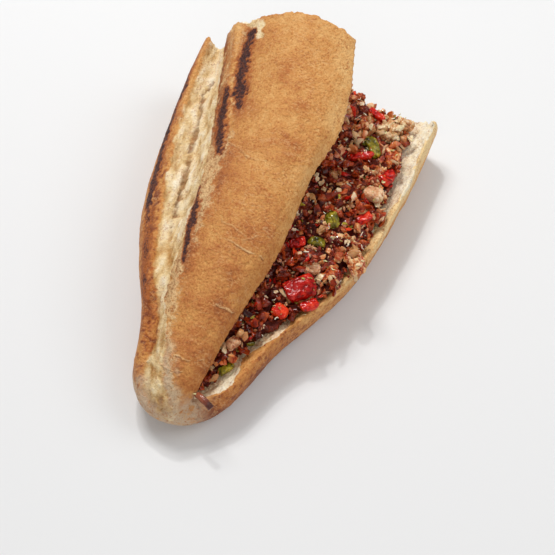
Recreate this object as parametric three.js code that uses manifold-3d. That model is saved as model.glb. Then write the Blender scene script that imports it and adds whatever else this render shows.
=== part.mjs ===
// Half a crusty white loaf, slit along one side, opened like a shell and filled with chopped
// grilled lamb offal, peppers, tomato and onion. Millimetres, +Z up. The loaf lies along Y: the
// closed nose is at -Y, the crosswise cut at +Y, and the slit opens towards +X.
import * as THREE from "three";
import { mergeVertices } from "three/addons/utils/BufferGeometryUtils.js";
import Module from "manifold-3d";

const wasm = await Module();
wasm.setup();

// ---------------------------------------------------------------- driving sizes
const loaf = {
  noseY: -103.5, // tip of the closed end
  cutY: 103.5, // plane of the crosswise cut
  noseLength: 24, // stretch over which the tip rounds off
  noseX: -7.5, // centre that the tip closes on
  noseZ: 12,
  seamEndY: -97, // the slit runs out here, short of the tip
  mouthFullY: -84, // from here on the slit has its full depth
  bodyStations: 26, // rings from the nose to just short of the cut
  crustRelief: 0.3,
  burstRelief: 1.6, // crags of the torn crumb where the crust burst
  crumbRelief: 0.5, // open texture of the cut faces
  scarDepth: 1.8, // second, shallow burst beside the first
  scarHalfWidth: 4.5,
  scarStartY: 25,
  tornEnd: 1.3, // raggedness of the crosswise cut
};
const clearance = 0.4; // between a piece and what it lies on
const centring = [-1.12, -0.6]; // puts the middle of the footprint on the origin
const heap = {
  nearY: -86, // stretch of the slit that holds filling
  farY: 100.5,
  taper: 14, // the heap thins out over this length at the near end
  rowStep: 7, // spacing of the chopped lumps
  lumpSpacing: 6.6,
};

// Guide lines of the loaf and its filling: at a few stations y, the line's x and z there.
const guides = {
  floorLeft: [[-104, -15, 0], [-85, -18, 0], [-50, -26, 0], [0, -42, 0], [50, -50, 0], [104, -52, 0]],
  floorRight: [[-104, 4, 0], [-85, 8, 0], [-50, 19, 0], [0, 40, 0], [50, 49, 0], [104, 52, 0]],
  side: [
    [-104, -30, 12], [-85, -31, 14], [-62, -35, 18], [-30, -49.8, 20], [0, -59.4, 22.5], [50, -65, 26],
    [104, -67.5, 29],
  ],
  stripTop: [
    [-104, -27, 19], [-85, -26, 25], [-50, -35.5, 35], [-15, -44, 40], [30, -53.5, 44], [70, -60, 46],
    [104, -62, 49],
  ],
  valley: [
    [-104, -23, 20], [-85, -22.5, 23.5], [-50, -30, 32], [-15, -37, 36], [30, -44.5, 38.5],
    [70, -51.5, 39.5], [104, -56.5, 40.5],
  ],
  ear: [
    [-104, -19, 24], [-85, -17.5, 29], [-50, -22.5, 40], [-15, -26, 48], [30, -28.5, 54], [70, -38, 59],
    [104, -46, 64.5],
  ],
  scar: [[20, -27], [50, -28.5], [75, -35], [104, -41]],
  crown: [
    [-104, -8, 27], [-85, -6, 34], [-50, -5, 47], [-15, -5, 57.5], [30, -4, 67], [70, -8, 74.5],
    [104, -10.5, 82],
  ],
  shoulder: [
    [-104, 2, 24], [-85, 2.5, 30], [-50, 7, 42], [-15, 13, 52.5], [30, 17, 63], [70, 15.5, 71.5],
    [104, 10, 78],
  ],
  lidRim: [
    [-104, 5, 19], [-97, 3, 21], [-85, 5, 24], [-50, 11.5, 33.5], [-18, 19, 41.5], [28, 22.5, 53],
    [50, 28, 58.5], [72, 26.7, 63.5], [104, 20, 71],
  ],
  baseRim: [
    [-104, 6, 18], [-97, 6, 20], [-91, 10.5, 20.6], [-85, 15.5, 21], [-50, 30, 24], [-28, 43.5, 25.5],
    [4, 56.5, 26], [48, 64, 27], [104, 67, 29],
  ],
  bulge: [
    [-104, 14, 12], [-85, 19.5, 13.5], [-50, 31.5, 14.5], [-28, 43.5, 15], [0, 55.5, 15], [45, 64, 16],
    [80, 68, 18], [104, 69.5, 19],
  ],
  hinge: [[-104, -4, 17], [-85, -9, 17.5], [-50, -17, 21], [0, -30, 26], [50, -38, 29.5], [104, -41, 32]],
  lidMiddle: [[-104, 0, 19], [-85, -1, 20.5], [-50, 0, 28], [0, 2, 38], [50, 1, 46], [104, -9, 53]],
  baseMiddle: [[-104, 2, 17], [-85, 4, 16], [-50, 8, 17], [0, 16, 18], [50, 18, 18], [104, 18, 18]],
  baseLedge: [
    [-104, 4, 18], [-85, 9.5, 17.5], [-50, 22, 19.5], [-28, 35, 21], [0, 46, 21.5], [48, 54, 22],
    [104, 56, 23],
  ],
  heapUnderLid: [[-90, 0], [-50, 3], [0, 6], [50, 6], [104, -2]], // where the heap leaves the lid
  heapSlope: [[-90, 3, 21], [-50, 10, 27.5], [0, 22, 36], [50, 28, 38], [104, 20, 37]],
  heapCrown: [[-90, 5, 21], [-50, 17, 26.5], [0, 38, 32], [50, 46, 33], [104, 40, 28]],
  heapEdge: [[-90, 6], [-71, 11.5], [-50, 23], [-30, 40], [-5, 51], [42, 57], [104, 55.5]],
};

const colours = {
  crust: 0xc98b4a,
  filling: 0x7d4636,
  tomato: 0xc4202a,
  redPepper: 0xc22a1f,
  greenPepper: 0x6d6c1c,
  onion: 0xdcc3a2,
  paleMeat: 0xc79b76,
  pinkMeat: 0xa4644f,
  brownMeat: 0x74402c,
};

// Larger pieces on the heap. lift is how high a piece's centre stands over the heap at xy, bend
// curls it along its length, and squareness takes it from a ball towards a block.
const toppings = [
  {
    name: "tomato_chunk", colour: "tomato", xy: [32.6, -24.6], lift: 1.7,
    size: [15.5, 11.5, 7], squareness: 0.55, bend: 0.05, turn: [8, -6, 38], detail: 2,
  },
  {
    name: "red_pepper_by_tomato", colour: "redPepper", xy: [39.4, -30.8], lift: 2.4,
    size: [9, 5.4, 4], squareness: 0.4, bend: 0.2, turn: [0, 0, 42],
  },
  {
    name: "red_pepper_near", colour: "redPepper", xy: [27, -38], lift: 0.9,
    size: [8, 6.5, 4.6], squareness: 0.45, bend: 0.1, turn: [0, 8, -15],
  },
  {
    name: "red_pepper_middle", colour: "redPepper", xy: [24, -3], lift: 0.8,
    size: [8.4, 5.6, 3.6], squareness: 0.4, bend: 0.2, turn: [12, 0, 30],
  },
  {
    name: "red_pepper_side", colour: "redPepper", xy: [49.5, 25.5], lift: 1.2,
    size: [9, 5.5, 3.6], squareness: 0.45, bend: 0.25, turn: [0, -12, 40],
  },
  {
    name: "red_pepper_edge", colour: "redPepper", xy: [53.5, 55.5], lift: 1.8,
    size: [12, 7.4, 4], squareness: 0.4, bend: 0.3, turn: [-14, 20, 74],
  },
  {
    name: "red_pepper_strip", colour: "redPepper", xy: [37.5, 59.5], lift: 1.2,
    size: [14.5, 4.2, 3.4], squareness: 0.4, bend: 0.06, turn: [0, -5, 24],
  },
  {
    name: "red_pepper_end", colour: "redPepper", xy: [37, 93.5], lift: 1.4,
    size: [11, 4, 3.2], squareness: 0.4, bend: 0.08, turn: [0, 6, -24],
  },
  {
    name: "green_pepper_middle", colour: "greenPepper", xy: [35.8, 16], lift: 1.3,
    size: [9.5, 7, 3.2], squareness: 0.35, bend: -0.35, turn: [14, -8, 115],
  },
  {
    name: "green_pepper_shaded", colour: "greenPepper", xy: [32.6, 1.5], lift: 0.8,
    size: [8.6, 5.5, 3], squareness: 0.4, bend: -0.25, turn: [-8, 10, 20],
  },
  {
    name: "green_pepper_far", colour: "greenPepper", xy: [41.5, 69.5], lift: 1.2,
    size: [13, 6.4, 3], squareness: 0.35, bend: -0.22, turn: [10, 12, -48],
  },
  {
    name: "green_pepper_near", colour: "greenPepper", xy: [12, -72], lift: 0.9,
    size: [9.4, 4.4, 3], squareness: 0.35, bend: -0.2, turn: [0, 0, 58],
  },
  {
    name: "onion_side", colour: "onion", xy: [50.2, 40.5], lift: 1.9,
    size: [11.5, 8.6, 6.2], squareness: 0.3, bend: -0.12, turn: [-6, 8, 8],
  },
  {
    name: "onion_by_tomato", colour: "onion", xy: [34.4, -12.4], lift: 1,
    size: [8.6, 6, 4.2], squareness: 0.4, bend: -0.15, turn: [6, 4, 15],
  },
  {
    name: "onion_near", colour: "onion", xy: [11.6, -61], lift: 0.4,
    size: [7.6, 5.6, 4], squareness: 0.4, bend: -0.1, turn: [0, 0, 55],
  },
  {
    name: "meat_ledge", colour: "brownMeat", xy: [44.6, -11.6], lift: 0.9,
    size: [10.5, 7.5, 4.6], squareness: 0.4, rough: 0.2, turn: [0, 10, 60],
  },
  {
    name: "meat_over_rim", colour: "pinkMeat", xy: [53, -1], lift: 3.9,
    size: [14, 8.6, 5], squareness: 0.3, rough: 0.26, bend: -0.2, turn: [4, 12, -48], detail: 2,
  },
  {
    name: "meat_side_pink", colour: "pinkMeat", xy: [51.8, 70.5], lift: 1.6,
    size: [10.5, 8.2, 5.6], squareness: 0.35, rough: 0.2, turn: [0, 10, 15],
  },
  {
    name: "meat_end_pink", colour: "pinkMeat", xy: [34.4, 82], lift: 0.9,
    size: [9, 7, 5], squareness: 0.4, rough: 0.2, turn: [5, 0, -30],
  },
  {
    name: "meat_end_large", colour: "paleMeat", xy: [46.8, 84.6], lift: 2.4,
    size: [12.4, 10.4, 8], squareness: 0.3, rough: 0.22, turn: [6, 8, 25], detail: 2,
  },
  {
    name: "meat_end_corner", colour: "paleMeat", xy: [53.2, 94.6], lift: 2.3,
    size: [8.6, 6.8, 6], squareness: 0.3, rough: 0.2, turn: [0, 12, -20],
  },
];

// A browned strand of gut that pokes out over the base's ledge near the nose.
const strand = {
  from: [4.6, -90.2, 22.4], knee: [8, -92, 24.6], to: [13.4, -94.8, 22.8],
  radius: 1.6, flatness: 0.8, sides: 8, steps: 7,
};

// ---------------------------------------------------------------- small helpers
const vec2 = ([x, z]) => new THREE.Vector2(x, z);
const lerp = THREE.MathUtils.lerp;
const clamp = THREE.MathUtils.clamp;
const ease = (t) => THREE.MathUtils.smoothstep(t, 0, 1);

// A guide line's values at y, on a smooth curve through its stations.
function guide(name, y) {
  const keys = guides[name];
  const last = keys.length - 1;
  const slope = (i, column) => {
    const before = keys[Math.max(i - 1, 0)];
    const after = keys[Math.min(i + 1, last)];
    return (after[column] - before[column]) / (after[0] - before[0]);
  };
  let i = 0;
  while (i < last - 1 && y > keys[i + 1][0]) i += 1;
  const span = keys[i + 1][0] - keys[i][0];
  const t = clamp((y - keys[i][0]) / span, 0, 1);
  return keys[i].slice(1).map((value, k) => {
    const column = k + 1;
    const start = value * (1 + 2 * t) * (1 - t) ** 2 + slope(i, column) * span * t * (1 - t) ** 2;
    const end = keys[i + 1][column] * t * t * (3 - 2 * t) + slope(i + 1, column) * span * t * t * (t - 1);
    return start + end;
  });
}

// Repeatable random numbers from 0 to 1.
function randomFrom(seed) {
  let state = Math.imul(seed, 2654435761) >>> 0;
  return () => {
    state = (Math.imul(state ^ (state >>> 15), 2246822519) + 3266489917) >>> 0;
    return ((state ^ (state >>> 13)) >>> 0) / 4294967296;
  };
}

// Uneven relief from -1 to 1: a few crossed waves, so that neighbours agree and little repeats.
function relief(a, b, seed) {
  const first = Math.sin(a * 1.31 + b * 0.47 + seed);
  const second = Math.sin(a * 0.53 - b * 1.13 + seed * 2.3);
  const third = Math.sin(a * 2.17 + b * 1.71 + seed * 0.7);
  return (first + second + third) / 3;
}

// A geometry's closed surface as a solid, with its shared corners merged.
function solidOf(geometry) {
  const bare = geometry.index ? geometry.toNonIndexed() : geometry.clone();
  bare.deleteAttribute("normal");
  bare.deleteAttribute("uv");
  const merged = mergeVertices(bare, 1e-3);
  const corners = merged.index.array;
  const triangles = [];
  for (let i = 0; i < corners.length; i += 3) {
    const [a, b, c] = [corners[i], corners[i + 1], corners[i + 2]];
    if (a !== b && b !== c && c !== a) triangles.push(a, b, c);
  }
  return new wasm.Manifold(new wasm.Mesh({
    numProp: 3,
    vertProperties: merged.attributes.position.array,
    triVerts: new Uint32Array(triangles),
  }));
}

function geometryOf(solid) {
  const { vertProperties, triVerts } = solid.getMesh();
  const geometry = new THREE.BufferGeometry();
  geometry.setAttribute("position", new THREE.BufferAttribute(new Float32Array(vertProperties), 3));
  geometry.setIndex(new THREE.BufferAttribute(new Uint32Array(triVerts), 1));
  geometry.computeVertexNormals();
  return geometry;
}

// A closed loft through rings of [x, y, z] points, all with the same count, run clockwise as
// seen from the -Y end. Each end is closed by a cap across its ring.
function loft(rings) {
  const count = rings[0].length;
  const position = [];
  const put = (...points) => points.forEach((p) => position.push(...p));
  rings.slice(0, -1).forEach((ring, r) => {
    for (let i = 0; i < count; i += 1) {
      const j = (i + 1) % count;
      const [a, b, c, d] = [ring[i], ring[j], rings[r + 1][j], rings[r + 1][i]];
      put(a, b, c, a, c, d);
    }
  });
  for (const [ring, isFar] of [[rings[0], false], [rings[rings.length - 1], true]]) {
    const outline = ring.map(([x, , z]) => new THREE.Vector2(x, z));
    const isTurned = THREE.ShapeUtils.area(outline) < 0;
    for (const [a, b, c] of THREE.ShapeUtils.triangulateShape(outline, [])) {
      if (isTurned === isFar) put(ring[a], ring[c], ring[b]);
      else put(ring[a], ring[b], ring[c]);
    }
  }
  const geometry = new THREE.BufferGeometry();
  geometry.setAttribute("position", new THREE.Float32BufferAttribute(position, 3));
  return geometry;
}

// ---------------------------------------------------------------- the loaf
// How far the slit is open at y: 0 where the loaf is still whole, 1 along the mouth.
const mouthOpen = (y) => ease((y - loaf.seamEndY) / (loaf.mouthFullY - loaf.seamEndY));

// Both cut faces at y: the lid's from its rim in to the hinge, the base's out to its rim.
function cutFaces(y) {
  const open = mouthOpen(y);
  const lidRim = guide("lidRim", y);
  const baseRim = guide("baseRim", y);
  const hinge = guide("hinge", y);
  const seam = lidRim.map((v, k) => (v + baseRim[k]) / 2);
  const shut = (p) => vec2(p.map((v, k) => lerp(seam[k], v, open)));
  const lid = [lidRim, guide("lidMiddle", y), [hinge[0] + 1.5, hinge[1] + 2]];
  const base = [hinge, guide("baseMiddle", y), guide("baseLedge", y), baseRim];
  return {
    lid: new THREE.SplineCurve(lid.map(shut)).getPoints(8),
    base: new THREE.SplineCurve(base.map(shut)).getPoints(10),
  };
}

// The loaf's outline at y from the base's rim round to it again, each point with its finish.
function loafSection(y) {
  const faces = cutFaces(y);
  const [floorLeft, floorRight, side, stripTop] = [
    guide("floorLeft", y), guide("floorRight", y), guide("side", y), guide("stripTop", y),
  ];
  const [valley, ear, crown, shoulder, bulge] = [
    guide("valley", y), guide("ear", y), guide("crown", y), guide("shoulder", y), guide("bulge", y),
  ];
  const lidRim = faces.lid[0];
  const baseRim = faces.base[faces.base.length - 1];
  const wall = [lerp(valley[0], ear[0], 0.45), lerp(valley[1], ear[1], 0.35)];
  const points = [];
  const add = (finish, list) => {
    list.slice(0, -1).forEach((p) => points.push({ x: p.x, z: p.y, finish }));
  };
  add("crust", new THREE.QuadraticBezierCurve(
    baseRim, vec2([bulge[0] + 0.8, lerp(bulge[1], baseRim.y, 0.7)]), vec2(bulge),
  ).getPoints(4));
  add("crust", new THREE.EllipseCurve(
    floorRight[0], bulge[1], bulge[0] - floorRight[0], bulge[1], 0, -Math.PI / 2, true,
  ).getPoints(5));
  add("floor", new THREE.LineCurve(vec2(floorRight), vec2(floorLeft)).getPoints(5));
  add("crust", new THREE.EllipseCurve(
    floorLeft[0], side[1], floorLeft[0] - side[0], side[1], -Math.PI / 2, -Math.PI, true,
  ).getPoints(5));
  add("crust", new THREE.QuadraticBezierCurve(
    vec2(side), vec2([side[0] - 0.5, lerp(side[1], stripTop[1], 0.8)]), vec2(stripTop),
  ).getPoints(4));
  add("burst", new THREE.SplineCurve([stripTop, valley, wall, ear].map(vec2)).getPoints(8));
  add("lid", new THREE.SplineCurve([vec2(ear), vec2(crown), vec2(shoulder), lidRim]).getPoints(17));
  add("crumb", faces.lid);
  add("crumb", faces.base);
  return points;
}

// How far the second burst lowers the lid at x, y.
function scarAt(x, y) {
  const across = (x - guide("scar", y)[0]) / loaf.scarHalfWidth;
  const along = ease((y - loaf.scarStartY) / 30);
  return loaf.scarDepth * along * Math.exp(-across * across);
}

// One ring of the loaf: the outline with its relief, drawn in towards the nose.
function loafRing(y) {
  const points = loafSection(y);
  const depth = Math.max(0, loaf.noseY + loaf.noseLength - y) / loaf.noseLength;
  const width = Math.sqrt(Math.max(0, 1 - depth * depth));
  const roughness = {
    crust: loaf.crustRelief,
    lid: loaf.crustRelief,
    burst: loaf.burstRelief,
    crumb: loaf.crumbRelief * mouthOpen(y),
    floor: 0,
  };
  return points.map(({ x, z, finish }, i) => {
    const before = points[(i + points.length - 1) % points.length];
    const after = points[(i + 1) % points.length];
    const run = Math.hypot(after.x - before.x, after.z - before.z) || 1;
    const isCorner = before.finish !== finish;
    const rough = isCorner ? 0 : roughness[finish] * relief(i * 0.9, y * 0.13, 4);
    const push = finish === "lid" ? rough - scarAt(x, y) : rough;
    const px = x + (push * (before.z - after.z)) / run;
    const pz = z + (push * (after.x - before.x)) / run;
    const torn = y >= loaf.cutY ? loaf.tornEnd * relief(i * 2.7, 5, 1) : 0;
    return [lerp(loaf.noseX, px, width), y + torn, lerp(loaf.noseZ, pz, width)];
  });
}

// Stations along the loaf: closer together where the nose rounds off.
function loafStations() {
  const list = [];
  for (let angle = 90; angle > 0; angle -= 11.25) {
    const drawn = 1 - Math.sin(THREE.MathUtils.degToRad(angle));
    list.push(loaf.noseY + loaf.noseLength * drawn);
  }
  const bodyStart = loaf.noseY + loaf.noseLength;
  const lastY = loaf.cutY - 4;
  for (let i = 0; i < loaf.bodyStations; i += 1) {
    list.push(lerp(bodyStart, lastY, i / (loaf.bodyStations - 1)));
  }
  list.push(loaf.cutY);
  return list;
}

const stations = loafStations();
const loafSolid = () => solidOf(loft(stations.map(loafRing)));

// ---------------------------------------------------------------- the filling's core
// Height at x of a line of points that runs one way.
function heightAt(line, x) {
  const run = line[0].x < line[line.length - 1].x ? line : [...line].reverse();
  if (x <= run[0].x) return run[0].y;
  const i = run.findIndex((p) => p.x >= x);
  if (i < 0) return run[run.length - 1].y;
  return lerp(run[i - 1].y, run[i].y, (x - run[i - 1].x) / (run[i].x - run[i - 1].x));
}

const coreGap = clearance + loaf.crumbRelief + 0.3; // the core is straight between its stations
const underLid = (x, y) => heightAt(cutFaces(y).lid, x) - coreGap;
const aboveBase = (x, y) => heightAt(cutFaces(y).base, x) + coreGap;

// The heap's upper surface at y, from where it leaves the lid out to its edge.
function heapLine(y) {
  const full = ease((y - heap.nearY) / heap.taper);
  const leaveX = guide("heapUnderLid", y)[0];
  const edgeX = guide("heapEdge", y)[0];
  const lowered = ([x, z]) => [x, lerp(aboveBase(x, y) + 1.5, z, full)];
  return new THREE.SplineCurve([
    vec2([leaveX, underLid(leaveX, y)]),
    vec2(lowered(guide("heapSlope", y))),
    vec2(lowered(guide("heapCrown", y))),
    vec2([edgeX, aboveBase(edgeX, y) + 1]),
  ]).getPoints(8);
}

const heapTop = (x, y) => heightAt(heapLine(y), x);

function coreRing(y) {
  const backX = guide("hinge", y)[0] + 4;
  const edgeX = guide("heapEdge", y)[0];
  const leaveX = guide("heapUnderLid", y)[0];
  const along = (count, from, to, height) => Array.from({ length: count }, (_, i) => {
    const x = lerp(from, to, i / count);
    return [x, y, height(x, y)];
  });
  const open = heapLine(y).slice(0, -1).map((p) => [p.x, y, p.y]);
  return [...along(5, backX, leaveX, underLid), ...open, ...along(9, edgeX, backX, aboveBase)];
}

const isInHeap = (y) => y > heap.nearY && y < heap.farY;
const coreStations = stations.filter((y, i) => isInHeap(y) && (stations.length - i) % 2 === 0);
const coreSolid = () => solidOf(loft(coreStations.map(coreRing)));

// ---------------------------------------------------------------- pieces of filling
function placed(geometry, { at, turn }) {
  const angles = turn.map(THREE.MathUtils.degToRad);
  const matrix = new THREE.Matrix4().makeRotationFromEuler(new THREE.Euler(...angles, "XYZ"));
  return geometry.applyMatrix4(matrix.setPosition(...at));
}

// A larger piece. grow widens it all round, for the pocket that it lies in.
function morsel({ size, squareness, bend = 0, rough = 0.12, detail = 1 }, seed, grow) {
  const geometry = new THREE.IcosahedronGeometry(1, detail);
  const position = geometry.getAttribute("position");
  const half = size.map((s) => s / 2 + grow);
  for (let i = 0; i < position.count; i += 1) {
    const [a, b, c] = [position.getX(i), position.getY(i), position.getZ(i)].map((v) => +v.toFixed(5));
    const dent = 1 + rough * relief(a * 3.1 + c * 2.3, b * 3.7, seed);
    const pressed = [a, b, c].map((v) => Math.sign(v) * Math.abs(v) ** (1 - squareness) * dent);
    const [x, y, z] = pressed.map((v, k) => v * half[k]);
    position.setXYZ(i, x, y, z + bend * half[0] * (pressed[0] ** 2 - 0.4));
  }
  return geometry;
}

// A chopped lump with few sides: a block whose corners are pulled in and out.
function lump({ size, at, turn }, random) {
  const block = new THREE.BoxGeometry(...size);
  block.deleteAttribute("normal");
  block.deleteAttribute("uv");
  const geometry = mergeVertices(block);
  const position = geometry.getAttribute("position");
  for (let i = 0; i < position.count; i += 1) {
    const pull = lerp(0.72, 1.2, random());
    position.setXYZ(i, position.getX(i) * pull, position.getY(i) * pull, position.getZ(i) * pull);
  }
  return solidOf(placed(geometry, { at, turn }));
}

// Whether a larger piece already lies over this spot.
function isUnderTopping(x, y) {
  return toppings.some(({ xy, size }) => Math.hypot(x - xy[0], y - xy[1]) < size[0] / 2);
}

// Chopped meat, pepper and onion on the open side of the heap, in rows across it.
function choppedLumps() {
  const random = randomFrom(11);
  const lumps = [];
  for (let rowY = heap.nearY + 6; rowY < heap.farY - 1; rowY += heap.rowStep) {
    const from = guide("heapUnderLid", rowY)[0];
    const to = guide("heapEdge", rowY)[0];
    const count = Math.max(1, Math.round((to - from) / heap.lumpSpacing));
    for (let i = 0; i < count; i += 1) {
      const length = lerp(4, 8.4, random() ** 1.5);
      const size = [length, length * lerp(0.6, 0.95, random()), length * lerp(0.5, 0.85, random())];
      const reach = length * 0.62;
      const wantedX = lerp(from, to, (i + random()) / count);
      const x = clamp(wantedX, from + reach, Math.max(from + reach, to - reach * 0.4));
      const y = clamp(rowY + (random() - 0.5) * heap.rowStep, heap.nearY + 6, heap.farY - 1 - reach / 2);
      const z = Math.max(heapTop(x, y), aboveBase(x, y) + reach);
      const turn = [random() * 60 - 30, random() * 60 - 30, random() * 180];
      const isOpen = underLid(x, y) - z > reach && z - heapTop(x, y) < reach * 0.7;
      if (isOpen && !isUnderTopping(x, y)) lumps.push(lump({ size, at: [x, y, z], turn }, random));
    }
  }
  return lumps;
}

// Lumps that stand out of the heap's face at the crosswise cut.
function endLumps() {
  const random = randomFrom(23);
  const lumps = [];
  const y = heap.farY - 1.2;
  for (let x = guide("hinge", y)[0] + 10; x < guide("heapEdge", y)[0] - 4; x += heap.rowStep) {
    const low = aboveBase(x, y) + 4.2;
    const high = Math.min(heapTop(x, y), underLid(x, y) - 4);
    const rows = Math.max(1, Math.round((high - low) / heap.rowStep));
    for (let row = 0; row < rows; row += 1) {
      const length = lerp(3.8, 5.6, random());
      const z = rows === 1 ? (low + high) / 2 : lerp(low, high, row / (rows - 1));
      const turn = [random() * 60, random() * 60, random() * 90];
      const size = [length, length * 0.8, length * 0.75];
      lumps.push(lump({ size, at: [x, y, z], turn }, random));
    }
  }
  return lumps;
}

function toppingSolid(topping, seed, grow) {
  const [x, y] = topping.xy;
  const at = [x, y, heapTop(x, y) + topping.lift];
  return solidOf(placed(morsel(topping, seed, grow), { at, turn: topping.turn }));
}

function strandSolid() {
  const section = new THREE.EllipseCurve(0, 0, strand.radius, strand.radius * strand.flatness);
  const outline = new THREE.Shape(section.getPoints(strand.sides).slice(0, -1));
  const bends = [strand.from, strand.knee, strand.to].map((p) => new THREE.Vector3(...p));
  const path = new THREE.QuadraticBezierCurve3(...bends);
  return solidOf(new THREE.ExtrudeGeometry(outline, {
    steps: strand.steps, bevelEnabled: false, extrudePath: path,
  }));
}

// The lumps are fused to the core, and each larger piece gets a pocket a little wider than itself.
function fillingSolid() {
  const whole = wasm.Manifold.union([coreSolid(), ...choppedLumps(), ...endLumps()]);
  const pockets = toppings.map((topping, i) => toppingSolid(topping, i + 3, clearance + 0.15));
  const pieces = wasm.Manifold.difference([whole, ...pockets]).decompose();
  return pieces.sort((a, b) => b.volume() - a.volume())[0];
}

// ---------------------------------------------------------------- assembly
const sandwich = new THREE.Group();
sandwich.position.set(...centring, 0);

function addPiece(name, solid, colour, roughness) {
  const material = new THREE.MeshStandardMaterial({ color: colours[colour], roughness, metalness: 0 });
  const mesh = new THREE.Mesh(geometryOf(solid), material);
  mesh.name = name;
  sandwich.add(mesh);
}

addPiece("bread", loafSolid(), "crust", 0.75);
addPiece("filling", fillingSolid(), "filling", 0.5);
toppings.forEach((topping, i) => {
  addPiece(topping.name, toppingSolid(topping, i + 3, 0), topping.colour, 0.35);
});
addPiece("browned_strand", strandSolid(), "brownMeat", 0.5);

export default sandwich;
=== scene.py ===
import math
import random
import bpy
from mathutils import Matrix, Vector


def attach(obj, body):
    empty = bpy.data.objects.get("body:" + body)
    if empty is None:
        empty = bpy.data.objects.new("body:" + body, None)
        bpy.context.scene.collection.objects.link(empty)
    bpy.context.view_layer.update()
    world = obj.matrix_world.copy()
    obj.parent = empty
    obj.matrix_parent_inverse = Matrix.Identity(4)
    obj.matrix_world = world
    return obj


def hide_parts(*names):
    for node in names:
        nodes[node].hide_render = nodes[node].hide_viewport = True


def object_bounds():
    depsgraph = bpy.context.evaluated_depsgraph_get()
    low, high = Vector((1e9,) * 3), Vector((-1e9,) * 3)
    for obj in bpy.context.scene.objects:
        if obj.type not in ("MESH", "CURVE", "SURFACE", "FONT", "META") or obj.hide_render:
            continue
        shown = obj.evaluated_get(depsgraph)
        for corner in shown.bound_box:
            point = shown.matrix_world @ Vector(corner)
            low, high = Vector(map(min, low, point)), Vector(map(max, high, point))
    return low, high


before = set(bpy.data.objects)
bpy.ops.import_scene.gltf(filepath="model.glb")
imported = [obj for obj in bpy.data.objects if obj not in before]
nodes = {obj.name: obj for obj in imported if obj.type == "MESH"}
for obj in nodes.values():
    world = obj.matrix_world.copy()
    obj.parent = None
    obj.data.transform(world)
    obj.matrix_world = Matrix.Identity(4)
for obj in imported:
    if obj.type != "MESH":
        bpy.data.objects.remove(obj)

from types import SimpleNamespace

import bmesh
import bpy
import numpy as np
from mathutils import Euler, Matrix, Vector, noise
from mathutils.bvhtree import BVHTree

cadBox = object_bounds()
mm = 0.001
print("frame loaded:", len(nodes), "parts")

# the loaf's own measures in millimetres
loaf = {
    "noseY": -103.5,
    "cutY": 103.5,
    "noseLength": 24.0,  # the part that rounds off
    "noseX": -7.5,
    "noseZ": 12.0,
    "seamEndY": -97.0,  # the slit opens from here
    "mouthFullY": -84.0,  # to here
    "centring": (-1.12, -0.6),  # how far the guide lines moved to centre the part
}

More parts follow.
